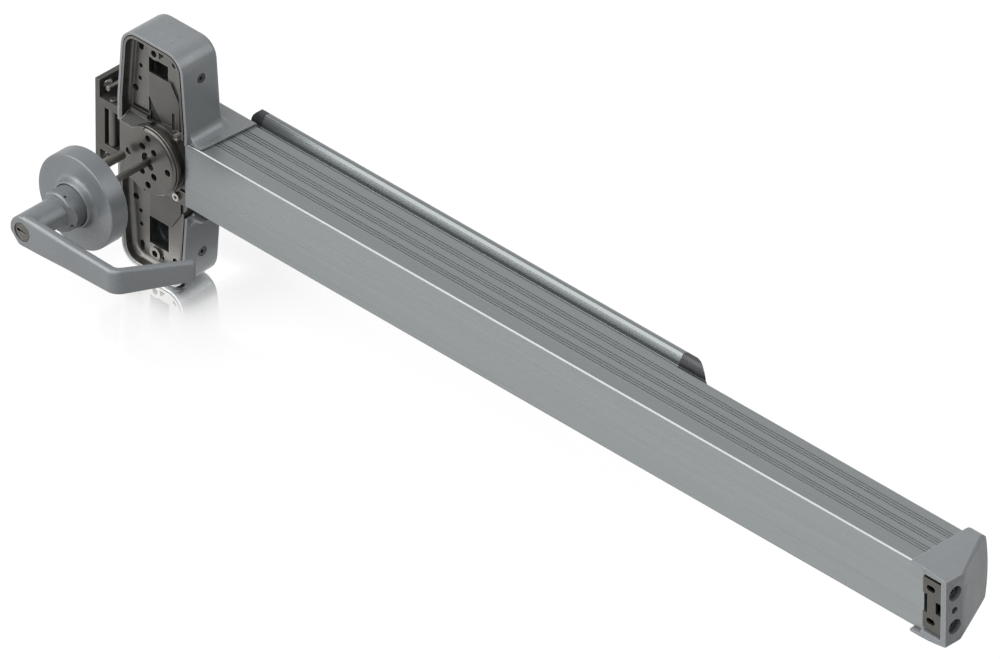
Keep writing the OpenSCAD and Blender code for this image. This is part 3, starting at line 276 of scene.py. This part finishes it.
class Graph:
    """Adds nodes to one node tree and links them."""

    def __init__(self, tree):
        self.tree = tree
        tree.nodes.clear()

    def feed(self, socket, value):
        """Links an output to a socket, or sets a plain value on it."""
        if isinstance(value, bpy.types.NodeSocket):
            self.tree.links.new(value, socket)
        else:
            socket.default_value = value

    def node(self, kind, **inputs):
        """A new node, with its named inputs fed."""
        node = self.tree.nodes.new(kind)
        for name, value in inputs.items():
            self.feed(node.inputs[name.replace("_", " ")], value)
        return node

    def operate(self, kind, operation, values):
        """A node of a kind that takes an operation, with its inputs fed in turn."""
        node = self.node(kind)
        node.operation = operation
        for socket, value in zip(node.inputs, values):
            self.feed(socket, value)
        return node

    def calc(self, operation, *values):
        """One operation on numbers."""
        return self.operate("ShaderNodeMath", operation, values).outputs[0]

    def vector_calc(self, operation, *values):
        """One operation on vectors."""
        output = "Value" if operation in ("LENGTH", "DOT_PRODUCT") else "Vector"
        return self.operate("ShaderNodeVectorMath", operation, values).outputs[output]

    def ranged(self, value, source, target=(0, 1), smooth=False):
        """The value carried from one range to another, and held at its ends."""
        node = self.node("ShaderNodeMapRange", Value=value)
        if smooth:
            node.interpolation_type = "SMOOTHSTEP"
        for end, number in zip(("From Min", "From Max", "To Min", "To Max"), source + target):
            node.inputs[end].default_value = number
        return node.outputs[0]


class Shader(Graph):
    """One material, built step by step on its surface."""

    def __init__(self, name):
        self.material = bpy.data.materials.new(name)
        self.material.use_nodes = True
        super().__init__(self.material.node_tree)
        self.surface = self.node("ShaderNodeBsdfPrincipled")
        self.output = self.node("ShaderNodeOutputMaterial", Surface=self.surface.outputs[0])
        self.coords = self.node("ShaderNodeTexCoord").outputs["Object"]

    def set(self, **values):
        """Plain values or links on the surface's own sockets."""
        for name, value in values.items():
            self.feed(self.surface.inputs[name.replace("_", " ")], value)

    def noise(self, cells, detail, roughness=0.5):
        """Noise of that many cells per metre."""
        stretch = cells if isinstance(cells, tuple) else (cells, cells, cells)
        place = self.node("ShaderNodeMapping", Vector=self.coords, Scale=stretch).outputs[0]
        texture = self.node("ShaderNodeTexNoise", Vector=place, Scale=1, Detail=detail, Roughness=roughness)
        return texture.outputs["Fac"]

    def blend(self, factor, a, b):
        """Colour a where the factor is 0, and b where it is 1."""
        node = self.node("ShaderNodeMix")
        node.data_type = "RGBA"
        first, second = [socket for socket in node.inputs if socket.type == "RGBA"]
        self.feed(node.inputs["Factor"], factor)
        self.feed(first, a)
        self.feed(second, b)
        return next(socket for socket in node.outputs if socket.type == "RGBA")

    def bump(self, height, depth):
        """Relief of that depth, added to what is there."""
        relief = self.node("ShaderNodeBump", Strength=1, Distance=depth, Height=height)
        normal = self.surface.inputs["Normal"]
        if normal.is_linked:
            self.feed(relief.inputs["Normal"], normal.links[0].from_socket)
        self.feed(normal, relief.outputs[0])

    def edges(self, reach):
        """1 along outer and inner edges, 0 on open faces."""
        bevel = self.node("ShaderNodeBevel", Radius=reach)
        bevel.samples = EDGE_SAMPLES
        true_normal = self.node("ShaderNodeNewGeometry").outputs["Normal"]
        agreement = self.vector_calc("DOT_PRODUCT", bevel.outputs[0], true_normal)
        return self.ranged(agreement, EDGE_AGREEMENT)


def cast_paint(name, colour, metallic=0.35, rough=0.32):
    """Satin coat over a casting: faint clouds, small paler spots, orange peel and paler edges, a painted
    edge highlight with rubbed wear.
    """
    s = Shader(name)
    clouds = s.noise(CAST_CLOUDS, detail=4)
    patches = s.noise(CAST_PATCHES, detail=3)
    spots = s.noise(CAST_SPOTS, detail=1)
    low, high = SOFT_TONES
    tint = s.blend(s.ranged(clouds, MIDDLE), tone(colour, low), tone(colour, high))
    tint = s.blend(s.ranged(spots, SPOT_PEAKS), tint, tone(colour, SPOT_TONE))
    # Painted edge highlight with rubbed wear: a paler colour along edges
    tint = s.blend(s.edges(CAST_PALE_EDGE_REACH), tint, tone(colour, CAST_EDGE_SHEEN_AND_WEAR))
    s.set(Base_Color=tint, Metallic=metallic, Specular_IOR_Level=CAST_SPECULAR)
    s.set(Roughness=s.ranged(patches, MIDDLE, around(rough, CAST_STRAY)))
    s.bump(spots, SPOT_RELIEF)
    s.bump(s.noise(CAST_PEEL, detail=1), PEEL_RELIEF)
    return s.material


def brushed_bar(name, colour, metallic=0.65, rough=0.28):
    """Brushed and anodised extrusion: long fine lines along X."""
    s = Shader(name)
    across, along = FINE_LINES
    fine = s.noise((along, across, across), detail=2, roughness=LINE_ROUGHNESS)
    across, along = COARSE_LINES
    coarse = s.noise((along, across, across), detail=2, roughness=LINE_ROUGHNESS)
    low, high = SOFT_TONES
    tint = s.blend(s.ranged(fine, MIDDLE), tone(colour, low), tone(colour, high))
    tint = s.blend(s.ranged(coarse, STREAK_PEAKS), tint, tone(colour, STREAK_TONE))
    s.set(Base_Color=tint, Metallic=metallic)
    s.set(Roughness=s.ranged(coarse, MIDDLE, around(rough, BAR_STRAY)))
    s.bump(fine, LINE_RELIEF)
    return s.material


def plain_steel(name, colour, metallic=0.8, rough=0.31, edge_sheen_and_wear=1.5):
    """Finished steel: cloudy tone, fine random scratches and bright edges, a painted edge highlight with
    rubbed wear.
    """
    s = Shader(name)
    clouds = s.noise(STEEL_CLOUDS, detail=5)
    scratches = s.noise(STEEL_SCRATCHES, detail=2)
    low, high = STEEL_TONES
    tint = s.blend(s.ranged(clouds, MIDDLE), tone(colour, low), tone(colour, high))
    tint = s.blend(s.ranged(scratches, SCRATCH_PEAKS), tint, tone(colour, SCRATCH_TONE))
    # Painted edge highlight with rubbed wear: a paler colour along edges
    tint = s.blend(s.edges(PALE_EDGE_REACH), tint, tone(colour, edge_sheen_and_wear))
    s.set(Base_Color=tint, Metallic=metallic)
    s.set(Roughness=s.ranged(clouds, MIDDLE, around(rough, STEEL_STRAY)))
    s.bump(s.noise(STEEL_GRAIN, detail=3), STEEL_RELIEF)
    return s.material


def black_moulding(name, colour):
    """Moulded black plastic with a fine leather-like grain and paler edges."""
    s = Shader(name)
    grain = s.noise(MOULD_GRAIN, detail=2)
    patches = s.noise(MOULD_PATCHES, detail=2)
    tint = s.blend(s.ranged(grain, GRAIN_PEAKS), tone(colour), tone(colour, GRAIN_TONE))
    tint = s.blend(s.edges(PALE_EDGE_REACH), tint, tone(colour, MOULD_PALE_EDGES))
    s.set(Base_Color=tint, Metallic=0, Specular_IOR_Level=MOULD_SPECULAR)
    s.set(Roughness=s.ranged(patches, MIDDLE, MOULD_ROUGHNESS))
    s.bump(grain, MOULD_RELIEF)
    return s.material


FINISHES = {
    "cast": cast_paint("cast_paint", CAST_GREY),
    "trim": cast_paint("trim_shaded_paint", TRIM_SHADED_GREY),
    "cap": cast_paint("cap_paint", CAP_GREY),
    "bar": brushed_bar("brushed_bar", BAR_GREY),
    "groove": brushed_bar("groove_painted_light_bar", GROOVE_PAINTED_LIGHT_GREY),
    "pad": brushed_bar("brushed_pad_shaded", PAD_SHADED_GREY, rough=0.36),
    "steel": plain_steel("plain_steel", STEEL_GREY),
    "tray": plain_steel("tray_steel", TRAY_GREY),
    "plate": plain_steel("plate_steel", PLATE_GREY),
    "strike": plain_steel("strike_steel", STRIKE_GREY, rough=0.45),
    "socket": plain_steel("socket_steel", SOCKET_GREY),
    "bright": plain_steel("bright_steel", BRIGHT_GREY, metallic=0.9, rough=0.32, edge_sheen_and_wear=1.2),
    "post": plain_steel("post_steel", POST_GREY, metallic=0.9, rough=0.32, edge_sheen_and_wear=1.2),
    "block": plain_steel("block_shaded_steel", BLOCK_SHADED_GREY, rough=0.42, edge_sheen_and_wear=3.2),
    "shade": black_moulding("painted_shade_black", PAINTED_SHADE_GREY),
    "screw": plain_steel("screw_steel", SCREW_GREY, metallic=0.95, rough=0.24, edge_sheen_and_wear=1.3),
    "black": black_moulding("black_moulding", PLASTIC_BLACK),
    "nickel": plain_steel("nickel", NICKEL_GREY, metallic=0.95, rough=0.28, edge_sheen_and_wear=1.3),
}
# The finish of each material slot, and of the nodes that read differently in the photograph
SLOT_FINISH = {
    "cast": "cast",
    "bar": "bar",
    "steel": "steel",
    "dark_steel": "tray",
    "bright_steel": "bright",
    "black_plastic": "black",
    "brass": "nickel",
}
NODE_FINISH = {
    # Rose and lever take the darker copy of the cast paint: painted shade
    "rose": "trim",
    "lever": "trim",
    "end_cap": "cap",
    # Push pad: the darker copy of the bar finish, painted shade
    "push_pad": "pad",
    "strike_body": "strike",
    "strike_roller": "steel",
    # The end bracket takes the darker strike steel: painted shade
    "end_bracket": "strike",
    "cover_screws": "socket",
    "end_cap_screws": "socket",
    "bracket_screws": "screw",
    "mounting_posts": "post",
    "upper_backing_plate": "plate",
    "lower_backing_plate": "plate",
}


def finish_of(node):
    """The material that a CAD node takes."""
    return FINISHES[NODE_FINISH.get(node, SLOT_FINISH[SLOTS[node]])]


def linked(name, data):
    """A new object in the scene."""
    thing = bpy.data.objects.new(name, data)
    bpy.context.scene.collection.objects.link(thing)
    return thing


def solid_of(name, mesh):
    """A new object from a finished bmesh, with its faces turned outward."""
    bmesh.ops.recalc_face_normals(mesh, faces=mesh.faces)
    data = bpy.data.meshes.new(name)
    mesh.to_mesh(data)
    mesh.free()
    return linked(name, data)


def smooth(mesh):
    """Smooth shading on every face."""
    for polygon in mesh.polygons:
        polygon.use_smooth = True


def refine(piece, edge=EDGE_ROUND):
    """Clean normals and a small rounding on a piece's sharp edges, which stay plain where edge is 0."""
    smooth(piece.data)
    weld = piece.modifiers.new("weld", "WELD")
    weld.merge_threshold = WELD_GAP
    flat = piece.modifiers.new("flat", "DECIMATE")
    flat.decimate_type = "DISSOLVE"
    flat.angle_limit = FLAT_ANGLE
    if edge:
        bevel = piece.modifiers.new("edge", "BEVEL")
        bevel.width = edge
        bevel.segments = EDGE_SEGMENTS
        bevel.limit_method = "ANGLE"
        bevel.angle_limit = EDGE_ANGLE
        bevel.use_clamp_overlap = True
    else:
        split = piece.modifiers.new("split", "EDGE_SPLIT")
        split.split_angle = EDGE_ANGLE
    normals = piece.modifiers.new("normals", "WEIGHTED_NORMAL")
    normals.weight = NORMAL_WEIGHT
    normals.keep_sharp = False


def second_finish(piece, finish, chosen):
    """Gives another finish to the faces of a piece that chosen picks."""
    piece.data.materials.append(FINISHES[finish])
    for polygon in piece.data.polygons:
        if chosen(polygon):
            polygon.material_index = 1


def sculpted_copy(node, name):
    """A copy of a CAD node to be worked on, which then stands for it on the same body."""
    piece = linked(name, NODES[node].data.copy())
    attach(piece, "frame")
    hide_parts(node)
    piece.data.materials.clear()
    piece.data.materials.append(finish_of(node))
    return piece


def part_lathe(name, outline, reach):
    """Closed solid: an outline of radii and depths turned about Y from -reach to +reach degrees."""
    mesh = bmesh.new()
    rings = []
    for i in range(CUT_STEPS + 1):
        a = math.radians(-reach + 2 * reach * i / CUT_STEPS)
        rings.append([mesh.verts.new((r * math.cos(a), y, r * math.sin(a))) for r, y in outline])
    for one, two in zip(rings, rings[1:]):
        for k in range(len(outline)):
            n = (k + 1) % len(outline)
            mesh.faces.new((one[k], one[n], two[n], two[k]))
    mesh.faces.new(rings[0])
    mesh.faces.new(reversed(rings[-1]))
    return solid_of(name, mesh)


def prism(name, corners, y0, y1):
    """Closed prism along Y over corners given in millimetres."""
    mesh = bmesh.new()
    front, back = ([mesh.verts.new((x * MM, y, z * MM)) for x, z in corners] for y in (y0, y1))
    mesh.faces.new(front)
    mesh.faces.new(reversed(back))
    for k in range(len(corners)):
        n = (k + 1) % len(corners)
        mesh.faces.new((front[n], front[k], back[k], back[n]))
    return solid_of(name, mesh)


def cut_by(piece, cutter):
    """Takes the cutter's volume out of the piece, and the cutter away."""
    cut = piece.modifiers.new("cut", "BOOLEAN")
    cut.object = cutter
    cut.solver = "EXACT"
    graph = bpy.context.evaluated_depsgraph_get()
    result = bpy.data.meshes.new_from_object(piece.evaluated_get(graph))
    piece.modifiers.clear()
    piece.data = result
    bpy.data.objects.remove(cutter)


def finish_cad_nodes():
    """Gives every CAD node its finish, and all but the springs refined edges."""
    for name, node in NODES.items():
        node.data.materials.clear()
        node.data.materials.append(finish_of(name))
        if "spring" in name and "bracket" not in name:
            smooth(node.data)
        else:
            refine(node, edge=0 if name == "rail_housing" else EDGE_ROUND)


def paint_light_into_grooves():
    """Painted light: a paler finish inside the rail's grooves, lifting their shade so they read as soft
    lines.
    """
    low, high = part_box("rail_housing")

    def in_groove(polygon):
        depth = min(high.z - polygon.center.z, polygon.center.z - low.z)
        within = low.y + GROOVE_INSET < polygon.center.y < high.y - GROOVE_INSET
        return within and GROOVE_DEPTHS[0] < depth < GROOVE_DEPTHS[1]

    second_finish(NODES["rail_housing"], "groove", in_groove)


def open_upper_window():
    """Tray, upper backing plate and bracket with the slanted window beside the trim plate; a dark sheet
    behind it and the window's left wall in black are painted shade.
    """
    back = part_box("upper_backing_plate")[1].y + SHADE_BEHIND
    # Painted shade: a dark sheet behind the window
    shade = prism("window_painted_shade", SHADE_CORNERS, back, back + SHADE_THICKNESS)
    shade.data.materials.append(FINISHES["shade"])
    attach(shade, "frame")

    def on_left_wall(polygon):
        return polygon.normal.x > FACING and abs(polygon.center.x - WINDOW_LEFT) < PLANE_GAP

    for node in ("chassis_tray", "upper_backing_plate", "rail_bracket"):
        piece = sculpted_copy(node, node + "_windowed")
        cut_by(piece, prism("window_cutter", WINDOW_CORNERS, WINDOW_FRONT, WINDOW_BACK))
        # Painted shade: the window's cut left wall in black
        second_finish(piece, "shade", on_left_wall)
        refine(piece)


def make_trim_plate():
    """Trim plate with its rounded rim, neck, flange and the undercut behind them, and painted shade: a
    darker steel on the latch block's slanted face.
    """
    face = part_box("trim_plate")[0].y
    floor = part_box("trim_plate")[1].y
    piece = sculpted_copy("trim_plate", "trim_plate_turned")
    rim = [(RIM_FLAT + (RIM_ROUND - RIM_FLAT) * math.sin(t), face + RIM_DEPTH * (1 - math.cos(t)))
           for t in (math.pi / 2 * k / RIM_STEPS for k in range(RIM_STEPS + 1))]
    behind = [
        (NECK_R, face + RIM_DEPTH + NECK_STEP),
        (NECK_R, face + FLANGE_FROM - NECK_ROOT),
        (FLANGE_R - FLANGE_CHAMFER, face + FLANGE_FROM),
        (FLANGE_R, face + FLANGE_FROM + FLANGE_CHAMFER),
        (FLANGE_R, face + FLANGE_TO),
        (UNDERCUT_R, face + FLANGE_TO + FLANGE_CHAMFER),
        (UNDERCUT_R, floor - CUT_PAST),
    ]
    outside = [
        (CUT_R, floor - CUT_PAST),
        (CUT_R, face - CUT_AHEAD),
        (RIM_FLAT - CUT_PAST, face - CUT_AHEAD),
    ]
    cut_by(piece, part_lathe("rim_cutter", rim + behind + outside, CUT_REACH))
    # Painted shade: the latch block's slanted face takes the darker block steel
    second_finish(piece, "block", lambda polygon: polygon.normal.dot(BLOCK_SLANT) > FACING)
    refine(piece, edge=TRIM_EDGE)


def make_end_cap():
    """End cap whose room side bows out between its top and bottom."""
    low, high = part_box("end_cap")
    piece = sculpted_copy("end_cap", "end_cap_bowed")
    mesh = bmesh.new()
    mesh.from_mesh(piece.data)
    half = (high.z - low.z) / 2
    middle = (high.z + low.z) / 2
    for k in range(1, BOW_STEPS):
        level = low.z + (high.z - low.z) * k / BOW_STEPS
        everything = mesh.verts[:] + mesh.edges[:] + mesh.faces[:]
        bmesh.ops.bisect_plane(mesh, geom=everything, plane_co=(0, 0, level), plane_no=(0, 0, 1))
    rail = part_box("rail_housing")[1]
    for v in mesh.verts:
        outer = v.co.x > rail.x - BOW_BEFORE_END or v.co.y > rail.y + BOW_BEHIND_RAIL
        share = min(max((v.co.y - BOW_FROM) / (BOW_TO - BOW_FROM), 0), 1)
        if outer:
            v.co.y += BOW * share * (1 - ((v.co.z - middle) / half) ** 2)
    mesh.to_mesh(piece.data)
    mesh.free()
    refine(piece)


def make_camera():
    """A long lens from the photograph's direction."""
    a, e = CAMERA_AZIMUTH, CAMERA_ELEVATION
    back = Vector((math.cos(e) * math.sin(a), -math.cos(e) * math.cos(a), math.sin(e)))
    data = bpy.data.cameras.new("camera")
    data.sensor_width = CAMERA_SENSOR
    data.lens = CAMERA_LENS
    data.clip_start = CAMERA_NEAR
    data.clip_end = CAMERA_FAR
    camera = linked("camera", data)
    camera.location = CAMERA_AIM + back * CAMERA_DISTANCE
    camera.rotation_mode = "QUATERNION"
    camera.rotation_quaternion = Quaternion(back, CAMERA_ROLL) @ (-back).to_track_quat("-Z", "Y")
    bpy.context.scene.camera = camera


def make_floor():
    """Floor just under the head: white to the camera with a painted shadow in its glow, and a mirror round
    the head's foot.
    """
    z = cad_box[0].z - FLOOR_GAP
    corners = [(x * FLOOR_HALF, y * FLOOR_HALF, z) for x, y in ((-1, -1), (1, -1), (1, 1), (-1, 1))]
    mesh = bpy.data.meshes.new("floor")
    mesh.from_pydata(corners, [], [(0, 1, 2, 3)])
    floor = linked("floor", mesh)
    s = Shader("floor")
    s.set(Base_Color=FLOOR_TONE, Roughness=FLOOR_ROUGH, Specular_IOR_Level=FLOOR_SPECULAR)

    # 1 at the head's foot, down to 0 where the mirror and the painted shadow end
    middle = (FOOT_LOW + FOOT_HIGH) / 2 + Vector((0, 0, z))
    half = (FOOT_HIGH - FOOT_LOW) / 2
    offset = s.vector_calc("ABSOLUTE", s.vector_calc("SUBTRACT", s.coords, middle))
    outside = s.vector_calc("MAXIMUM", s.vector_calc("SUBTRACT", offset, half), (0, 0, 0))
    away = s.vector_calc("LENGTH", outside)
    near = s.calc("POWER", s.ranged(away, (0, MIRROR_REACH), (1, 0)), MIRROR_FALL)
    shadow = s.calc("POWER", s.ranged(away, (0, PAINTED_SHADOW_REACH), (1, 0)), PAINTED_SHADOW_FALL)

    # What the camera and gloss see of the glow: to the camera it is dimmed by the painted shadow and gives
    # way to the mirror at the foot
    path = s.node("ShaderNodeLightPath")
    open_level = s.ranged(shadow, (0, 1), (FLOOR_GLOW, FLOOR_GLOW - PAINTED_SHADOW_DEPTH))
    left_at_foot = 1 - MIRROR_SHARE * MIRRORED_LEVEL / FLOOR_GLOW
    level = s.calc("MULTIPLY", open_level, s.ranged(near, (0, 1), (1, left_at_foot)))
    seen = s.calc("MULTIPLY", path.outputs["Is Camera Ray"], level)
    place = s.node("ShaderNodeSeparateXYZ", Vector=s.coords)
    # Painted shade in reflections: gloss sees the glow dimmer behind the door side and beyond the right end
    behind = s.ranged(place.outputs["Y"], DIM_BEHIND)
    dim = s.calc("MAXIMUM", behind, s.ranged(place.outputs["X"], DIM_RIGHT))
    gloss_level = s.ranged(dim, (0, 1), (GLOSS_BRIGHT, GLOSS_PAINTED_DIM))
    gloss = s.calc("MULTIPLY", path.outputs["Is Glossy Ray"], gloss_level)

    glow = s.node("ShaderNodeEmission", Color=WHITE, Strength=s.calc("MAXIMUM", seen, gloss))
    share = s.ranged(near, (0, 1), (0, MIRROR_SHARE))
    mirror = s.node("ShaderNodeBsdfAnisotropic", Color=share, Roughness=MIRROR_ROUGH)
    # The floor's own surface, its glow and the mirror add up
    layers = s.surface
    for extra in (glow, mirror):
        both = s.node("ShaderNodeAddShader")
        s.feed(both.inputs[0], layers.outputs[0])
        s.feed(both.inputs[1], extra.outputs[0])
        layers = both
    s.feed(s.output.inputs["Surface"], layers.outputs[0])
    mesh.materials.append(s.material)


def make_world():
    """Soft surround: white to the camera, brighter on the left, with a softbox up on the door's side."""
    world = bpy.data.worlds.new("studio")
    bpy.context.scene.world = world
    world.use_nodes = True
    g = Graph(world.node_tree)
    direction = g.node("ShaderNodeTexCoord").outputs["Generated"]
    right = g.node("ShaderNodeSeparateXYZ", Vector=direction).outputs["X"]
    surround = g.ranged(right, (-1, 1), (SURROUND_LEFT, SURROUND_RIGHT))

    toward = g.vector_calc("DOT_PRODUCT", direction, SOFTBOX_SIDE.normalized())
    across = g.calc("ABSOLUTE", g.calc("SUBTRACT", right, SOFTBOX_MIDDLE))
    height = g.ranged(toward, (SOFTBOX_EDGE, SOFTBOX_CORE), (0, SOFTBOX_POWER), smooth=True)
    width = g.ranged(across, (SOFTBOX_HALF + SOFTBOX_FADE, SOFTBOX_HALF), smooth=True)
    dimming = g.ranged(right, SOFTBOX_DIMMING, (1, SOFTBOX_RIGHT), smooth=True)
    softbox = g.calc("MULTIPLY", g.calc("MULTIPLY", height, width), dimming)

    lit = g.node("ShaderNodeBackground", Color=WHITE, Strength=g.calc("ADD", surround, softbox))
    plain = g.node("ShaderNodeBackground", Color=WHITE)
    mix = g.node("ShaderNodeMixShader")
    g.feed(mix.inputs[0], g.node("ShaderNodeLightPath").outputs["Is Camera Ray"])
    g.feed(mix.inputs[1], lit.outputs[0])
    g.feed(mix.inputs[2], plain.outputs[0])
    g.node("ShaderNodeOutputWorld", Surface=mix.outputs[0])


def make_fill_light():
    """A soft square lamp behind the rail."""
    data = bpy.data.lights.new("fill", "AREA")
    data.size = FILL_SIZE
    data.energy = FILL_POWER
    lamp = linked("fill", data)
    lamp.location = FILL_PLACE
    lamp.rotation_mode = "QUATERNION"
    lamp.rotation_quaternion = (FILL_AIM - FILL_PLACE).to_track_quat("-Z", "Y")


finish_cad_nodes()
paint_light_into_grooves()
open_upper_window()
make_trim_plate()
make_end_cap()
make_camera()
make_floor()
make_world()
make_fill_light()

scene = bpy.context.scene
scene.view_settings.view_transform = "Standard"
